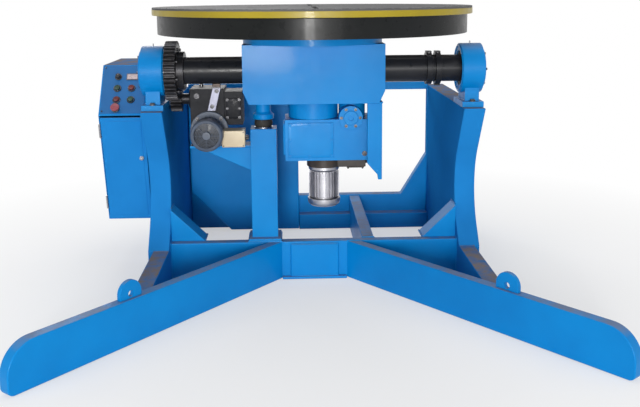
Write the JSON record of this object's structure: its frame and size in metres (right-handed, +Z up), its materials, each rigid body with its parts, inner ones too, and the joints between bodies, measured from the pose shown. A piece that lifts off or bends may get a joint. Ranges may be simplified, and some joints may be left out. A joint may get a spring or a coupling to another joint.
{
  "type": "welding positioner",
  "caption": "Welding positioner: round slotted table on a tilting body between two cheek frames, with gear drives and a side control cabinet on a splayed V base.",
  "frame": {"origin": "on the floor, under the middle of the machine's outline", "axes": "+Z up, -Y towards the operator, +X to the operator's right; the tilt axis runs along X"},
  "size_m": [2.1582, 2.0417, 1.246],
  "materials": {
    "blue_paint": "gloss",
    "black_paint": "satin",
    "table_steel": "satin",
    "steel": "satin",
    "dark_steel": "satin",
    "motor_grey": "satin",
    "cream_plastic": "matt",
    "rubber": "matt",
    "copper": "satin",
    "red_plastic": "gloss",
    "green_plastic": "gloss",
    "black_plastic": "matt",
    "panel_blue": "satin"
  },
  "bodies": {
    "frame": {"front_beam": "blue_paint", "rib_left": "blue_paint", "rib_right": "blue_paint", "leg_left": "blue_paint", "leg_right": "blue_paint", "apex_plate": "blue_paint", "cheek_left": "blue_paint", "cheek_right": "blue_paint", "rear_frame": "blue_paint", "rear_housing": "blue_paint", "corner_gussets": "blue_paint", "stop_post": "blue_paint", "lifting_lugs": "blue_paint", "pillow_left": "blue_paint", "pillow_right": "blue_paint", "cabinet_case": "blue_paint", "gearbox_shelf": "blue_paint", "bearing_caps": "blue_paint", "tilt_gearbox": "black_paint", "bearing_left": "steel", "bearing_right": "steel", "tilt_sensors": "steel", "earth_bar": "steel", "button_bezels": "steel", "door_hinges": "steel", "pillow_bolts": "dark_steel", "sensor_bracket": "dark_steel", "tilt_motor": "motor_grey", "tilt_fan_cowl": "motor_grey", "tilt_terminal_box": "cream_plastic", "speed_meter": "cream_plastic", "stop_buffer": "rubber", "earth_brush": "copper", "control_panel": "panel_blue"},
    "tilt": {"tilt_body": "blue_paint", "drive_bracket": "blue_paint", "rest_foot": "blue_paint", "centre_housing": "blue_paint", "trunnion_left": "black_paint", "trunnion_right": "black_paint", "bull_gear": "black_paint", "limit_cams": "black_paint", "ring_fixed": "black_paint", "drive_gearbox": "blue_paint", "drive_adapter": "dark_steel", "slew_motor": "motor_grey", "slew_fan_cowl": "motor_grey"},
    "table": {"table_plate": "table_steel", "table_skirt": "black_paint", "ring_moving": "steel"},
    "slew_pinion": {"slew_pinion": "steel"},
    "tilt_pinion": {"tilt_pinion": "steel"},
    "door": {"cabinet_door": "blue_paint"},
    "latch": {"door_latch": "steel"},
    "tilt_up": {"tilt_up_button": "green_plastic"},
    "tilt_down": {"tilt_down_button": "red_plastic"},
    "turn_left": {"turn_left_button": "red_plastic"},
    "turn_right": {"turn_right_button": "green_plastic"},
    "estop": {"estop_button": "red_plastic"},
    "knob": {"speed_knob": "black_plastic"}
  },
  "joints": [
    {"name": "table_tilt", "type": "hinge", "parent": "frame", "child": "tilt", "pos_m": [0, 0.14085, 0.965], "axis": [1, 0, 0], "range_deg": [0, 90]},
    {"name": "table_spin", "type": "hinge", "parent": "tilt", "child": "table", "pos_m": [0, 0.14085, 1.136], "axis": [0, 0, 1], "continuous": true},
    {"name": "slew_pinion_spin", "type": "hinge", "parent": "tilt", "child": "slew_pinion", "pos_m": [0.175, 0.14085, 0.75], "axis": [0, 0, 1], "continuous": true},
    {"name": "tilt_pinion_spin", "type": "hinge", "parent": "frame", "child": "tilt_pinion", "pos_m": [-0.557, 0.25085, 0.82442], "axis": [1, 0, 0], "range_deg": [-216, 0]},
    {"name": "door_hinge", "type": "hinge", "parent": "frame", "child": "door", "pos_m": [-0.965, 0.22653, 0.31837], "axis": [0, 0.2137, -0.9769], "range_deg": [0, 110]},
    {"name": "latch_turn", "type": "hinge", "parent": "door", "child": "latch", "pos_m": [-0.787, 0.17306, 0.5642], "axis": [0, -0.9769, -0.2137], "range_deg": [0, 90]},
    {"name": "tilt_up_press", "type": "slide", "parent": "frame", "child": "tilt_up", "axis": [0, 0.8018, -0.5976], "range_m": [0, 0.004], "stiffness_N_per_m": 600},
    {"name": "tilt_down_press", "type": "slide", "parent": "frame", "child": "tilt_down", "axis": [0, 0.8018, -0.5976], "range_m": [0, 0.004], "stiffness_N_per_m": 600},
    {"name": "turn_left_press", "type": "slide", "parent": "frame", "child": "turn_left", "axis": [0, 0.8018, -0.5976], "range_m": [0, 0.004], "stiffness_N_per_m": 600},
    {"name": "turn_right_press", "type": "slide", "parent": "frame", "child": "turn_right", "axis": [0, 0.8018, -0.5976], "range_m": [0, 0.004], "stiffness_N_per_m": 600},
    {"name": "estop_press", "type": "slide", "parent": "frame", "child": "estop", "axis": [0, 0.8018, -0.5976], "range_m": [0, 0.0045], "stiffness_N_per_m": 600},
    {"name": "knob_turn", "type": "hinge", "parent": "frame", "child": "knob", "pos_m": [-0.89, 0.24674, 0.92832], "axis": [0, -0.8018, 0.5976], "range_deg": [-140, 140]}
  ],
  "couplings": [
    {"joint": "slew_pinion_spin", "follows": "table_spin", "ratio": 4.5714},
    {"joint": "tilt_pinion_spin", "follows": "table_tilt", "ratio": -2.4}
  ]
}
